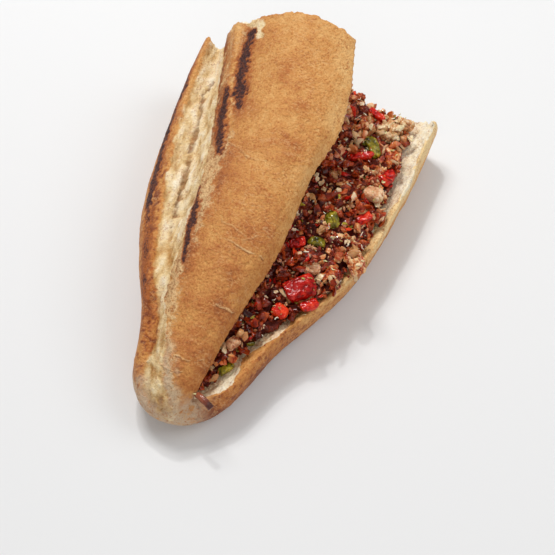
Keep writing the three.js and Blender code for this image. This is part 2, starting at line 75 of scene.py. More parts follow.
# guide lines of the loaf: y, then the line's x and z there
guides = {
    "side": [(-104, -30, 12), (-85, -31, 14), (-62, -35, 18), (-30, -49.8, 20), (0, -59.4, 22.5),
             (50, -65, 26), (104, -67.5, 29)],
    "stripTop": [(-104, -27, 19), (-85, -26, 25), (-50, -35.5, 35), (-15, -44, 40), (30, -53.5, 44),
                 (70, -60, 46), (104, -62, 49)],
    "valley": [(-104, -23, 20), (-85, -22.5, 23.5), (-50, -30, 32), (-15, -37, 36), (30, -44.5, 38.5),
               (70, -51.5, 39.5), (104, -56.5, 40.5)],
    "ear": [(-104, -19, 24), (-85, -17.5, 29), (-50, -22.5, 40), (-15, -26, 48), (30, -28.5, 54),
            (70, -38, 59), (104, -46, 64.5)],
    "crown": [(-104, -8, 27), (-85, -6, 34), (-50, -5, 47), (-15, -5, 57.5), (30, -4, 67), (70, -8, 74.5),
              (104, -10.5, 82)],
    "shoulder": [(-104, 2, 24), (-85, 2.5, 30), (-50, 7, 42), (-15, 13, 52.5), (30, 17, 63),
                 (70, 15.5, 71.5), (104, 10, 78)],
    "lidRim": [(-104, 5, 19), (-97, 3, 21), (-85, 5, 24), (-50, 11.5, 33.5), (-18, 19, 41.5),
               (28, 22.5, 53), (50, 28, 58.5), (72, 26.7, 63.5), (104, 20, 71)],
    "baseRim": [(-104, 6, 18), (-97, 6, 20), (-91, 10.5, 20.6), (-85, 15.5, 21), (-50, 30, 24),
                (-28, 43.5, 25.5), (4, 56.5, 26), (48, 64, 27), (104, 67, 29)],
    "bulge": [(-104, 14, 12), (-85, 19.5, 13.5), (-50, 31.5, 14.5), (-28, 43.5, 15), (0, 55.5, 15),
              (45, 64, 16), (80, 68, 18), (104, 69.5, 19)],
    "hinge": [(-104, -4, 17), (-85, -9, 17.5), (-50, -17, 21), (0, -30, 26), (50, -38, 29.5), (104, -41, 32)],
    "lidMiddle": [(-104, 0, 19), (-85, -1, 20.5), (-50, 0, 28), (0, 2, 38), (50, 1, 46), (104, -9, 53)],
    "baseMiddle": [(-104, 2, 17), (-85, 4, 16), (-50, 8, 17), (0, 16, 18), (50, 18, 18), (104, 18, 18)],
    "baseLedge": [(-104, 4, 18), (-85, 9.5, 17.5), (-50, 22, 19.5), (-28, 35, 21), (0, 46, 21.5),
                  (48, 54, 22), (104, 56, 23)],
    # left and right border of the torn crumb in the burst, and of the flecked crust beside it: y and x
    "tornLeft": [(-103, -10), (-99.7, -15), (-96, -19.5), (-91, -22.2), (-85, -23.6), (-79, -23.4),
                 (-73, -21.6), (-67, -23.2), (-60, -26), (-53, -29.6), (-42, -36.2), (-32, -38.6),
                 (-21, -41.4), (-8, -45), (15, -50.2), (28, -52.9), (46, -56.2), (60, -58), (80, -59.2),
                 (104, -60.8)],
    "tornRight": [(-103, 1), (-99, -5.5), (-91, -11.2), (-80, -14.7), (-74, -16.4), (-68, -18.4),
                  (-61, -21.4), (-54, -25), (-47, -26.2), (-30, -26.6), (-10, -26.6), (3, -28.6),
                  (28, -33.4), (42, -36.8), (66, -42.6), (78, -45.4), (104, -52.5)],
    "fleckRight": [(-103, 2), (-85, -8.5), (-74, -13), (-60, -16.5), (-46, -19.6), (-30, -20.5),
                   (-10, -20.5), (20, -22), (40, -23), (60, -25.5), (80, -29), (104, -34)],
}


def smooth(low, high, value):
    t = np.clip((value - low) / (high - low), 0.0, 1.0)
    return t * t * (3.0 - 2.0 * t)


def hill(value, middle, width):  # 1 at the middle, falling off on both sides
    return np.exp(-(((value - middle) / width) ** 2))


def guideAt(name, y):  # x and z of a guide line, or x alone, at every y of an array
    keys = np.array(guides[name], float)
    last = len(keys) - 1
    slopes = np.array([(keys[min(i + 1, last)] - keys[max(i - 1, 0)]) for i in range(last + 1)])
    slopes = slopes[:, 1:] / slopes[:, :1]
    i = np.clip(np.searchsorted(keys[:, 0], y) - 1, 0, last - 1)
    span = (keys[i + 1, 0] - keys[i, 0])[:, None]
    t = np.clip((y - keys[i, 0])[:, None] / span, 0.0, 1.0)
    start = keys[i, 1:] * (1 + 2 * t) * (1 - t) ** 2 + slopes[i] * span * t * (1 - t) ** 2
    end = keys[i + 1, 1:] * t * t * (3 - 2 * t) + slopes[i + 1] * span * t * t * (t - 1)
    return start + end


def curveThrough(points, count):  # a smooth line through points, for every y at once
    lines = []
    for step in range(count + 1):
        place = (len(points) - 1) * step / count
        i = min(int(place), len(points) - 2)
        t = place - i
        before, a, b = points[max(i - 1, 0)], points[i], points[i + 1]
        after = points[min(i + 2, len(points) - 1)]
        va, vb = (b - before) * 0.5, (after - a) * 0.5
        lines.append((2 * a - 2 * b + va + vb) * t ** 3 + (3 * b - 3 * a - 2 * va - vb) * t ** 2 + va * t + a)
    return np.stack(lines, 1)


def nearest(points, line):  # distance to a line and how far along it, from 0 to 1
    best = np.full(len(points), 1e9)
    along = np.zeros(len(points))
    spans = line.shape[1] - 1
    for k in range(spans):
        a, d = line[:, k], line[:, k + 1] - line[:, k]
        length = np.maximum((d ** 2).sum(1), 1e-9)
        t = np.clip(((points - a) * d).sum(1) / length, 0.0, 1.0)
        gap = np.hypot(*(points - a - d * t[:, None]).T)
        closer = gap < best
        best[closer] = gap[closer]
        along[closer] = ((k + t) / spans)[closer]
    return best, along


def strokeDistance(places, line):  # distance in millimetres to a line of points, and the share along it
    best = np.full(len(places), 1e9)
    share = np.zeros(len(places))
    for k in range(len(line) - 1):
        a, b = np.array(line[k], float), np.array(line[k + 1], float)
        d = b - a
        t = np.clip((places - a) @ d / (d @ d), 0.0, 1.0)
        gap = np.linalg.norm(places - a - t[:, None] * d, axis=1)
        closer = gap < best
        best[closer] = gap[closer]
        share[closer] = ((k + t) / (len(line) - 1))[closer]
    return best, share


def noiseField(places, size, octaves=3, seed=0.0, stretch=(1, 1, 1)):
    shift = Vector((seed * 7.1, seed * 3.7, seed * 5.3))
    scaled = places / size / np.array(stretch)
    gain, lacunarity = 0.8, 2.1
    return np.array([noise.fractal(Vector(p) + shift, gain, lacunarity, octaves) for p in scaled])


def cellField(places, size, seed=0.0):  # distance to the middle of the nearest cell, 0 to about 1
    shift = Vector((seed * 3.3, seed * 8.9, seed * 2.1))
    return np.array([noise.voronoi(Vector(p) + shift)[0][0] for p in places / size])


# a shader socket that Python arithmetic works on
class Shade:
    def __init__(self, tree, out=None):
        self.tree = tree
        self.out = out

    def node(self, kind, settings=None, inputs=None, output=0):
        made = self.tree.nodes.new(kind)
        for name, setting in (settings or {}).items():
            if name == "stops":  # of a colour ramp: the two ends first
                for i, (place, colour) in enumerate(setting):
                    stop = made.color_ramp.elements[i] if i < 2 else made.color_ramp.elements.new(place)
                    stop.position = place
                    stop.color = colour
            else:
                setattr(made, name, setting)
        for name, given in (inputs or {}).items():
            if isinstance(given, Shade):
                self.tree.links.new(given.out, made.inputs[name])
            else:
                made.inputs[name].default_value = given
        return Shade(self.tree, made.outputs[output])

    def compute(self, operation, first, second=0.0):
        return self.node("ShaderNodeMath", {"operation": operation}, {0: first, 1: second})

    def __add__(self, other):
        return self.compute("ADD", self, other)

    def __sub__(self, other):
        return self.compute("SUBTRACT", self, other)

    def __rsub__(self, other):
        return self.compute("SUBTRACT", other, self)

    def __mul__(self, other):
        return self.compute("MULTIPLY", self, other)

    def __abs__(self):
        return self.compute("ABSOLUTE", self)

    __radd__ = __add__
    __rmul__ = __mul__

    def between(self, low, high):  # 0 at low, 1 at high, eased
        settings = {"interpolation_type": "SMOOTHSTEP"}
        return self.node("ShaderNodeMapRange", settings, {"Value": self, "From Min": low, "From Max": high})

    def mix(self, first, second):  # this socket's value takes first to second
        inputs = {0: self, 6: first, 7: second}
        return self.node("ShaderNodeMix", {"data_type": "RGBA"}, inputs, 2)


def linear(red, green, blue):  # a screen colour from 0 to 255 as light
    def one(v):
        v /= 255.0
        return v / 12.92 if v <= 0.04045 else ((v + 0.055) / 1.055) ** 2.4
    return (one(red), one(green), one(blue), 1.0)


def newMaterial(name):
    material = bpy.data.materials.new(name)
    material.use_nodes = True
    tree = material.node_tree
    shader = tree.nodes["Principled BSDF"]
    return material, Shade(tree), shader


def connect(socket, shade):
    shade.tree.links.new(shade.out, socket)


def attribute(shade, name):
    settings = {"attribute_type": "GEOMETRY", "attribute_name": name}
    return shade.node("ShaderNodeAttribute", settings, None, "Fac")


def texture(shade, scale, kind="ShaderNodeTexNoise", output="Fac", stretch=1.0, **more):
    place = shade.node("ShaderNodeTexCoord", None, None, "Object")
    if stretch != 1.0:
        squeeze = {0: place, 1: (1, 1 / stretch, 1)}
        place = shade.node("ShaderNodeVectorMath", {"operation": "MULTIPLY"}, squeeze)
    return shade.node(kind, None, {"Vector": place, "Scale": scale, **more}, output)


def ramp(shade, stops, value):  # screen colours along a value; the two ends come first
    settings = {"stops": [(place, linear(*colour)) for place, colour in stops]}
    return shade.node("ShaderNodeValToRGB", settings, {"Fac": value})


def bump(shade, height, strength, distance):
    inputs = {"Height": height, "Strength": strength, "Distance": distance}
    return shade.node("ShaderNodeBump", None, inputs)


def addObject(name, mesh, materials, replaced=()):
    piece = bpy.data.objects.new(name, mesh)
    bpy.context.scene.collection.objects.link(piece)
    for material in materials:
        mesh.materials.append(material)
    for polygon in mesh.polygons:
        polygon.use_smooth = True
    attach(piece, "root")
    if replaced:
        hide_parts(*replaced)
    return piece


def asMesh(bm, name):
    mesh = bpy.data.meshes.new(name)
    bm.to_mesh(mesh)
    bm.free()
    return mesh


def cadCopy(name):  # a CAD part's mesh as one closed bmesh
    bm = bmesh.new()
    bm.from_mesh(nodes[name].data)
    bmesh.ops.remove_doubles(bm, verts=bm.verts, dist=2e-6)
    return bm


def baked(mesh, modifiers):  # the mesh as a list of (type, settings) leaves it
    carrier = bpy.data.objects.new("carrier", mesh)
    bpy.context.scene.collection.objects.link(carrier)
    for kind, settings in modifiers:
        modifier = carrier.modifiers.new(kind.lower(), kind)
        for key, value in settings.items():
            setattr(modifier, key, value)
    depsgraph = bpy.context.evaluated_depsgraph_get()
    result = bpy.data.meshes.new_from_object(carrier.evaluated_get(depsgraph))
    bpy.data.objects.remove(carrier)
    return result


def meshArrays(mesh):
    count = len(mesh.vertices)
    places = np.empty(count * 3)
    normals = np.empty(count * 3)
    mesh.vertices.foreach_get("co", places)
    mesh.vertices.foreach_get("normal", normals)
    return places.reshape(-1, 3), normals.reshape(-1, 3)


def setPlaces(mesh, places):  # keeps every point in the CAD model's box
    low, high = np.array(cadBox[0]), np.array(cadBox[1])
    kept = np.clip(places, low + 1e-5, high - 1e-5)
    mesh.vertices.foreach_set("co", kept.ravel())
    mesh.update()


def setAttribute(mesh, name, values):
    layer = mesh.attributes.new(name, "FLOAT", "POINT")
    layer.data.foreach_set("value", np.clip(values, 0.0, 1.0).astype(np.float32))


def regainForm(mesh, tree, rounds):  # puts back what smoothing took off the CAD form, evenly
    places, _ = meshArrays(mesh)
    gaps = np.array([tree.find_nearest(Vector(v))[0] for v in places]) - places
    edges = np.empty(len(mesh.edges) * 2, int)
    mesh.edges.foreach_get("vertices", edges)
    first, second = edges.reshape(-1, 2).T
    counts = np.bincount(edges, minlength=len(places))[:, None] + 1
    for _ in range(rounds):
        total = gaps.copy()
        np.add.at(total, first, gaps[second])
        np.add.at(total, second, gaps[first])
        gaps = total / counts
    setPlaces(mesh, places + gaps)


def refineNear(mesh, lines, reach, cuts):  # finer faces within reach millimetres of lines
    bm = bmesh.new()
    bm.from_mesh(mesh)
    centres = np.array([face.calc_center_median() for face in bm.faces]) / mm - [*loaf["centring"], 0.0]
    close = np.zeros(len(centres), bool)
    for line in lines:
        close |= strokeDistance(centres, line)[0] < reach
    edges = {edge for face, kept in zip(bm.faces, close) if kept for edge in face.edges}
    bmesh.ops.subdivide_edges(bm, edges=list(edges), cuts=cuts, use_grid_fill=True)
    bm.to_mesh(mesh)
    bm.free()


def treeOf(name):
    bm = cadCopy(name)
    tree = BVHTree.FromBMesh(bm)
    bm.free()
    return tree


camera = {  # axes of the view; the place is in millimetres
    "place": (108.477, -297.523, 467.372),
    "right": (0.946059, 0.32383, 0.010341),
    "up": (-0.275511, 0.787278, 0.551622),
    "ahead": (-0.17049, 0.524716, -0.83403),
    "lens": 70.24,
    "sensor": 36.0,
}


def makeCamera():
    data = bpy.data.cameras.new("camera")
    data.lens = camera["lens"]
    data.sensor_width = camera["sensor"]
    data.clip_start = 0.01
    eye = bpy.data.objects.new("camera", data)
    bpy.context.scene.collection.objects.link(eye)
    axes = Matrix((camera["right"], camera["up"], [-v for v in camera["ahead"]])).transposed()
    eye.matrix_world = Matrix.Translation(Vector(camera["place"]) * mm) @ axes.to_4x4()
    bpy.context.scene.camera = eye


makeCamera()
print("camera set")

# the loaf's crust and crumb
bread = {
    "voxel": 1.06 * mm,
    "sharpAngle": 0.75,  # edges past this angle stay sharp
    "wave": 0.4,  # slow unevenness of the crust
    "grain": 0.16,  # leathery fine relief
    "fibre": 0.95,  # torn crumb in the burst
    "pore": 0.8,  # depth of the holes in the cut crumb
    "tornEnd": 4.2,  # length of the teeth along the cut of the base
    "toothSize": 3.2,
    "toast": 0.48,  # 0 is pale crust, 1 is dark
    "paleness": 0.68,  # of the torn crumb
    "bareRim": [(59, 9, 3.0), (96, 7, 1.6)],  # crumb over the rim: y, width, reach
    "crumbPatches": [  # where the crust wraps further or less over the rim: y, width, how much further
        (-14, 6, -3.5), (-31, 7, 2.0), (-48, 8, -4.5), (-63, 6, 3.0), (-80, 8, -4.5), (20, 9, 1.2)],
    "creaseDepth": 0.14,
    "creaseHalf": 0.42,  # half width
    "creaseReach": 1.3,  # how far around it the faces are cut finer
    "creaseCuts": 2,
    "creases": [  # strength, then points
        (1.0, [(-7.4, -25.1, 54.2), (-2.4, -25.2, 54.7), (1.8, -25.6, 53.8), (7.4, -26.2, 51.7),
               (13, -25, 48.5), (17, -25.5, 44.5)]),
        (0.9, [(-4, -50.4, 45.4), (2, -53.8, 43.7), (6, -53.1, 41.3), (8.5, -52.4, 39.1), (12, -49, 36)]),
        (0.9, [(-14.5, -79.6, 34), (-6.5, -81, 35.2), (-2.6, -81.3, 34.7), (2.7, -77.8, 32.8),
               (5.5, -75.5, 29.5)]),
        (0.8, [(-15, -85, 29.5), (-12, -85.5, 31), (-8, -86.5, 32.2), (-4.6, -86.5, 32.3),
               (0, -82.4, 32.3)]),
        (0.5, [(-24, 29.5, 56.5), (-20.7, 27.6, 58.4), (-15, 24, 61.5), (-10.7, 19.5, 62.5),
               (-5, 17.4, 64), (0.8, 18.1, 64.8)]),
        (0.5, [(2.4, -22.6, 54.6), (8.4, -17.9, 53.9), (15.7, -12.9, 50.6)]),
        (0.45, [(-12.5, -9, 56), (-9.4, -17, 55.8), (-4, -17.8, 56.9), (0.6, -19.6, 55.8),
                (4.4, -20.4, 54.6)]),
        (0.4, [(4, 8, 62), (11, 12, 60.5), (18, 16, 57)]),
    ],
    "streakHalf": 2.6,
    "streaks": [  # faint darker strokes on the lid
        [(-2.5, 53, 72), (4, 52.2, 71.6), (10.2, 53.8, 70.4)],
        [(3, 35, 68.5), (9, 31, 66.5), (14, 30, 64)],
        [(-8, 66, 74), (-3, 61, 73.4), (3, 60, 73)],
    ],
    "chars": [  # dark toasted marks: half width, then points
        (5.6, [(-34.3, 95, 67), (-33.2, 79, 63.5), (-30.8, 70, 61.5), (-28.4, 61, 60.5), (-25.6, 51, 59.5)]),
        (4.9, [(-37, 62.7, 56.5), (-35, 51.8, 53.5), (-32.5, 42.7, 52), (-29.4, 32.6, 53),
               (-26.3, 23.9, 54.2)]),
        (3.0, [(-29.4, 4.5, 48.2), (-27.6, -3.6, 48.5), (-26.3, -11, 48.6), (-25.1, -18, 47.8),
               (-24.2, -24.5, 46.7), (-22.2, -36, 44.5)]),
    ],
    "scarHalf": 4.4,
    "scarCrumb": [(-39, 104, 67), (-34, 100, 70), (-29.5, 92, 71)],  # torn crumb in the second burst
    "scorchHalf": 3.4,
    "scorch": [(-62.5, 92, 43), (-63.4, 60, 41), (-61.6, 41, 39.1), (-58.1, 21.3, 38.3), (-54, -2.6, 36),
               (-48, -19.6, 35.2), (-42, -36, 34.4), (-35, -54, 32)],
    "creviceHalf": 1.1,
    "crevice": [(-50, 78, 41), (-53.3, 70, 39.6), (-49.3, 56.7, 40), (-47, 43.5, 39.3), (-44.5, 28.5, 38),
                (-42.5, 16.6, 38), (-40.9, 7, 38), (-38.5, -8, 37.4), (-36, -20, 36.4)],
    # screen colours along toast and along paleness, the two ends first
    "crust": [(0.0, (244, 212, 154)), (1.0, (126, 60, 30)), (0.25, (232, 180, 112)), (0.5, (212, 148, 78)),
              (0.75, (186, 112, 52))],
    "tornCrumb": [(0.0, (158, 100, 46)), (1.0, (252, 240, 214)), (0.3, (206, 158, 92)),
                  (0.6, (240, 212, 160))],
    "crumb": ((248, 228, 188), (255, 248, 226)),
}


def breadZones(p):  # distances to the loaf's surfaces and rims; p is in the part's millimetres
    y = p[:, 1]
    depth = np.clip((loaf["noseY"] + loaf["noseLength"] - y) / loaf["noseLength"], 0.0, 1.0)
    width = np.sqrt(np.maximum(1 - depth ** 2, 0.02))
    centre = np.array([loaf["noseX"], loaf["noseZ"]])
    section = centre + (p[:, [0, 2]] - centre) / width[:, None]
    at = {name: guideAt(name, y) for name in guides}
    opened = smooth(loaf["seamEndY"], loaf["mouthFullY"], y)[:, None]
    seam = (at["lidRim"] + at["baseRim"]) / 2
    shut = [seam + (v - seam) * opened for v in (
        at["lidRim"], at["lidMiddle"], at["hinge"] + [1.5, 2], at["hinge"], at["baseMiddle"],
        at["baseLedge"], at["baseRim"])]
    lidFace, _ = nearest(section, curveThrough(shut[:3], 8))
    baseFace, _ = nearest(section, curveThrough(shut[3:], 10))
    lidArc, lidAlong = nearest(section, curveThrough([at["ear"], at["crown"], at["shoulder"], shut[0]], 16))
    wall = at["valley"] + (at["ear"] - at["valley"]) * [0.45, 0.35]
    burst, _ = nearest(section, curveThrough([at["stripTop"], at["valley"], wall, at["ear"]], 8))
    middle = (at["side"] + at["stripTop"]) / 2 + [-1.2, 1]
    side, sideAlong = nearest(section, np.stack([at["side"], middle, at["stripTop"]], 1))
    outer, _ = nearest(section, np.stack([shut[6], at["bulge"]], 1))
    return SimpleNamespace(
        crust=np.minimum(np.minimum(lidArc, burst), np.minimum(side, outer)),
        inner=np.minimum(lidFace, baseFace),
        onBase=baseFace < lidFace,
        toLidRim=np.hypot(*(section - shut[0]).T),
        toBaseRim=np.hypot(*(section - shut[6]).T),
        lid=lidArc, lidAlong=lidAlong, side=side, sideAlong=sideAlong, burst=burst, opened=opened[:, 0],
        tornLeft=at["tornLeft"][:, 0], tornRight=at["tornRight"][:, 0], fleckRight=at["fleckRight"][:, 0],
    )


def strokeMask(p, line, half, ragged=0.0, ends=0.5):  # 1 along a line, with tapered ends
    gap, share = strokeDistance(p, line)
    taper = np.sin(np.pi * np.clip(share * 0.94 + 0.03, 0, 1)) ** ends
    return smooth(1.25, 0.35, gap / (half * (0.3 + 0.7 * taper)) + ragged)


def loafMesh():  # the CAD loaf, rounded and with even faces, finer along the creases
    bm = cadCopy("bread")
    bmesh.ops.join_triangles(bm, faces=bm.faces, angle_face_threshold=0.6, angle_shape_threshold=3.1)
    sharp = bm.edges.layers.float.new("crease_edge")
    for edge in bm.edges:
        if len(edge.link_faces) == 2 and edge.calc_face_angle(0.0) > bread["sharpAngle"]:
            edge[sharp] = 1.0
    mesh = baked(asMesh(bm, "loaf"), [
        ("SUBSURF", {"levels": 2, "render_levels": 2}),
        ("REMESH", {"mode": "VOXEL", "voxel_size": bread["voxel"]}),
        ("SMOOTH", {"factor": 0.5, "iterations": 2}),
    ])
    regainForm(mesh, treeOf("bread"), 8)
    refineNear(mesh, [line for _, line in bread["creases"]], bread["creaseReach"], bread["creaseCuts"])
    return mesh


def breadPatterns(p):  # slow to fine, then the torn crumb's, drawn out along the loaf, then its holes
    return SimpleNamespace(
        wave=noiseField(p, 17.0, 2, 1.0),
        middle=noiseField(p, 5.0, 3, 2.0),
        fine=noiseField(p, 1.7, 2, 3.0),
        fibre=noiseField(p, 2.2, 3, 4.0, (1.0, 3.2, 1.0)),
        knots=noiseField(p, 3.6, 2, 8.0, (1.0, 2.4, 1.0)),
        lumps=noiseField(p, 7.0, 2, 9.0, (1.0, 2.2, 1.0)),
        holes=cellField(p, 3.2, 5.0),
        smallHoles=cellField(p, 1.7, 6.0),
    )


def cutCrumb(y, zone, uneven):  # on the cut faces; the crust wraps a little way in over the base's rim
    wrap = 0.8 + 0.5 * smooth(92, 78, y) + 1.1 * smooth(58, 48, y) + 2.6 * smooth(47, 26, y)
    wrap += (0.6 + 0.7 * smooth(60, 20, y)) * uneven.middle + 0.6 * uneven.fine
    for place, width, more in bread["crumbPatches"]:
        wrap = wrap + more * hill(y, place, width)
    wrap = np.where(zone.onBase, wrap, 0.5 + 0.5 * uneven.middle)
    toRim = np.where(zone.onBase, zone.toBaseRim, zone.toLidRim)
    crumb = smooth(-0.4, 0.6, zone.crust - zone.inner) * smooth(2.6, 1.4, zone.inner)
    crumb *= smooth(wrap - 0.6, wrap + 0.9, toRim) * smooth(0.1, 0.5, zone.opened)
    for place, width, reach in bread["bareRim"]:
        bare = smooth(0.8, -0.8, zone.toBaseRim - reach * hill(y, place, width) + 0.7 * uneven.middle)
        crumb = np.maximum(crumb, bare * (zone.lid > 4) * smooth(6, 3, np.abs(y - place) - width))
    cutEnd = smooth(loaf["cutY"] - 2.4, loaf["cutY"] - 0.9, y + 0.4 * uneven.middle)
    return np.maximum(crumb, cutEnd * smooth(0.8, 1.9, zone.crust + 0.4 * uneven.fine)), cutEnd


def burstMasks(p, zone, uneven):  # the loaf's top, its torn crumb, the flecked crust and thin edge beside it
    x, y, z = p.T
    middle, fine, knots = uneven.middle, uneven.fine, uneven.knots
    left, right, fleckRight = zone.tornLeft, zone.tornRight, zone.fleckRight
    onTop = (zone.lid < 3.2) | (zone.burst < 3.2) | (zone.side < 1.5)
    onTop = onTop * smooth(0.2, -0.4, zone.crust - zone.inner - 0.6) * smooth(10, 14, z)
    ragged = 1.4 * middle + 0.7 * fine
    soften = 1.6 * smooth(-40, -80, y)
    torn = smooth(left - 2.4, left + 2.4, x + ragged)
    torn *= smooth(right + 0.8 + soften, right - 0.9 - soften, x + ragged * 0.6) * onTop
    scar = strokeMask(p, bread["scarCrumb"], bread["scarHalf"], 0.5 * middle + 0.3 * fine, 0.2)
    torn = np.maximum(torn, scar * onTop)
    fleckBand = smooth(right - 2, right + 1, x) * onTop
    fleckBand *= smooth(fleckRight + 5.0, fleckRight - 4.5, x + 3.0 * middle + 1.5 * knots)
    fleckBand *= 1.1 + 0.4 * knots - 0.6 * smooth(20, 45, y)
    earLine = hill(x - right - 0.9 + 0.4 * middle, 0, 0.9) * onTop * smooth(-25, 0, y)
    return onTop, torn, fleckBand, earLine


def toastedStrokes(p, uneven):  # the dark strokes, and the brown around them
    middle, fine = uneven.middle, uneven.fine
    char, halo = np.zeros(len(p)), np.zeros(len(p))
    for half, line in bread["chars"]:
        char = np.maximum(char, strokeMask(p, line, half, 0.4 * middle + 0.55 * fine, 0.4))
        halo = np.maximum(halo, strokeMask(p, line, half * 1.5, 0.5 * middle + 0.5 * fine, 0.3))
    scorch = strokeMask(p, bread["scorch"], bread["scorchHalf"], 0.55 * middle + 0.4 * fine, 0.25)
    patchy = 0.72 + 0.4 * smooth(-15, 15, p[:, 1]) + 0.4 * noiseField(p, 12.0, 2, 7.0)
    return np.maximum(char, scorch * patchy), halo


def creaseMasks(p, uneven):  # thin ridges, drawn paler as painted highlight, and the hollow beside each, drawn darker as painted shadow
    ridgesAndHighlights, hollowsAndShade = np.zeros(len(p)), np.zeros(len(p))
    wander = p + (0.9 * uneven.middle + 0.3 * uneven.fine)[:, None] * [0, 1, 0]
    beside = wander + [0.2, 0.65, 0.3]
    for strength, line in bread["creases"]:
        ridgeAndHighlight = strokeMask(wander, line, bread["creaseHalf"], 0.3 * uneven.fine)
        hollowAndShade = strokeMask(beside, line, bread["creaseHalf"], 0.5 * uneven.middle)
        ridgesAndHighlights = np.maximum(ridgesAndHighlights, strength * ridgeAndHighlight)
        hollowsAndShade = np.maximum(hollowsAndShade, strength * hollowAndShade)
    return ridgesAndHighlights, hollowsAndShade


def howToasted(p, zone, uneven, onTop):  # 0 is pale crust, 1 is dark
    x, y, z = p.T
    wave, middle, fine = uneven.wave, uneven.middle, uneven.fine
    left, right = zone.tornLeft, zone.tornRight
    toast = bread["toast"] + 0.13 * wave + 0.1 * middle + 0.2 * smooth(80, -80, y)

    # the lid: paler at its rim as a painted highlight band, and paler beside its brown edge along the burst
    nearRim = smooth(17, 3, zone.toLidRim + 3 * wave) * (zone.lid < 2.5) * smooth(-70, 10, y)
    toast -= 0.13 * nearRim
    edge = x - right + 0.6 * middle
    toast += 0.25 * hill(edge, 2.2, 2.2) * onTop * smooth(15, 45, y) * (1 + 1.2 * fine)
    toast -= 0.34 * hill(edge, 8.3, 2.2) * onTop * smooth(25, 50, y)
    toast += 0.16 * smooth(0.30, 0.05, zone.lidAlong) * (zone.lid < 3) * smooth(-70, 0, y)

    # the strip left of the burst, and the wall under it, paler towards the cut end: floury crust and painted
    # reflected light
    onStrip = ((zone.side < 2.2) & (zone.sideAlong > 0.6)) | (zone.burst < 2.0)
    strip = onStrip * smooth(left - 0.5, left - 4.5, x) * smooth(-80, -45, y)
    toast += 0.26 * strip * (1 + 1.2 * middle + 0.9 * fine)
    leftWall = (zone.side < 2.2) * smooth(0.7, 0.35, zone.sideAlong)
    toast -= leftWall * (0.12 + 0.16 * smooth(20, 90, y))

    # the base on the open side: golden rim, brown spots, darker near the floor
    rightWall = smooth(8, 16, x - right) * (zone.inner > zone.crust) * (zone.lid > 3)
    toast -= rightWall * (0.04 + 0.1 * smooth(30, 90, y))
    rimTop = smooth(9.0, 3.0, zone.toBaseRim + 1.5 * middle) * (zone.lid > 4)
    toast -= rimTop * (0.16 + 0.26 * smooth(-40, 0, y) + 0.12 * smooth(5, 30, y) + 0.2 * wave)
    spots = smooth(0.12, 0.5, noiseField(p, 2.2, 2, 31.0)) * (zone.lid > 4) * (zone.crust < zone.inner)
    toast += 0.34 * spots * smooth(60, 0, y) + 0.2 * rightWall * smooth(-30, -60, y)
    return toast + 0.14 * rightWall * smooth(14, 5, z)


